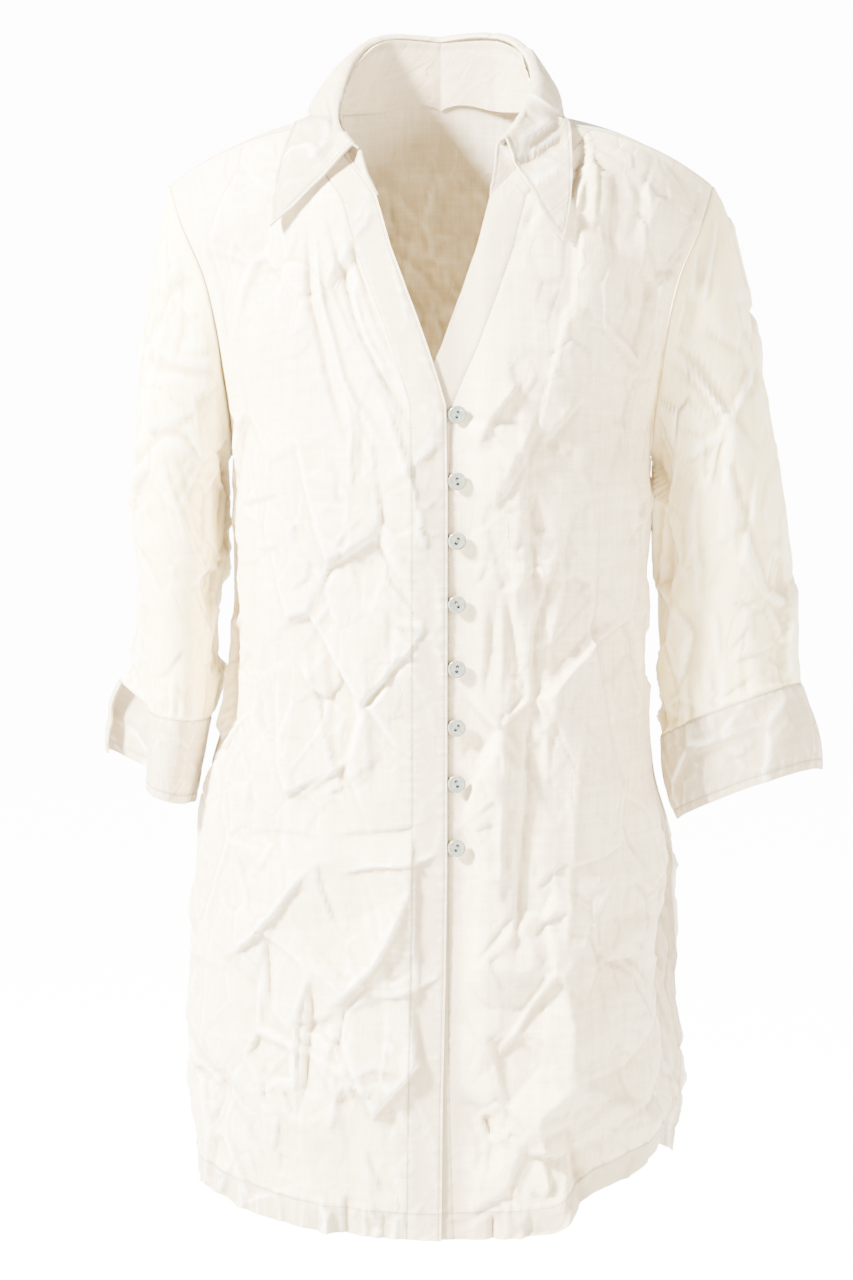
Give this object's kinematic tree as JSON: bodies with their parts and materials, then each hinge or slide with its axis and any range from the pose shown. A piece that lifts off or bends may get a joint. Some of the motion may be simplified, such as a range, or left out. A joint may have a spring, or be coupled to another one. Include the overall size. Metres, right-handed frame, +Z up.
{
  "type": "linen blouse",
  "caption": "Long linen blouse as worn, hollow, with a standing open collar, three-quarter sleeves with deep cuffs, a V neck, a buttoned front and side slits.",
  "frame": {"origin": "between the shoulders, level with the side of the neck, where the wearer's shoulders hold the blouse up", "axes": "+Z up along the blouse's length, -Y its front, +X the wearer's left"},
  "size_m": [0.5318, 0.2391, 0.8626],
  "materials": {
    "linen": "thin plain-weave linen, ivory, creased, with a slight sheen",
    "doubled_linen": "the same linen in two layers, as on collar and cuffs",
    "shell": "pearly shell, glossy, with grey, green and pink tints",
    "thread": "twisted ivory thread"
  },
  "bodies": {
    "root": {"right_front": "linen", "left_front": "linen", "back": "linen", "right_sleeve": "linen", "left_sleeve": "linen", "right_cuff": "doubled_linen", "left_cuff": "doubled_linen", "collar_stand": "doubled_linen", "collar_fall": "doubled_linen", "button_1": "shell", "button_2": "shell", "button_3": "shell", "button_4": "shell", "button_5": "shell", "button_6": "shell", "button_7": "shell", "button_8": "shell", "loop_1": "thread", "loop_2": "thread", "loop_3": "thread", "loop_4": "thread", "loop_5": "thread", "loop_6": "thread", "loop_7": "thread", "loop_8": "thread"}
  },
  "joints": []
}
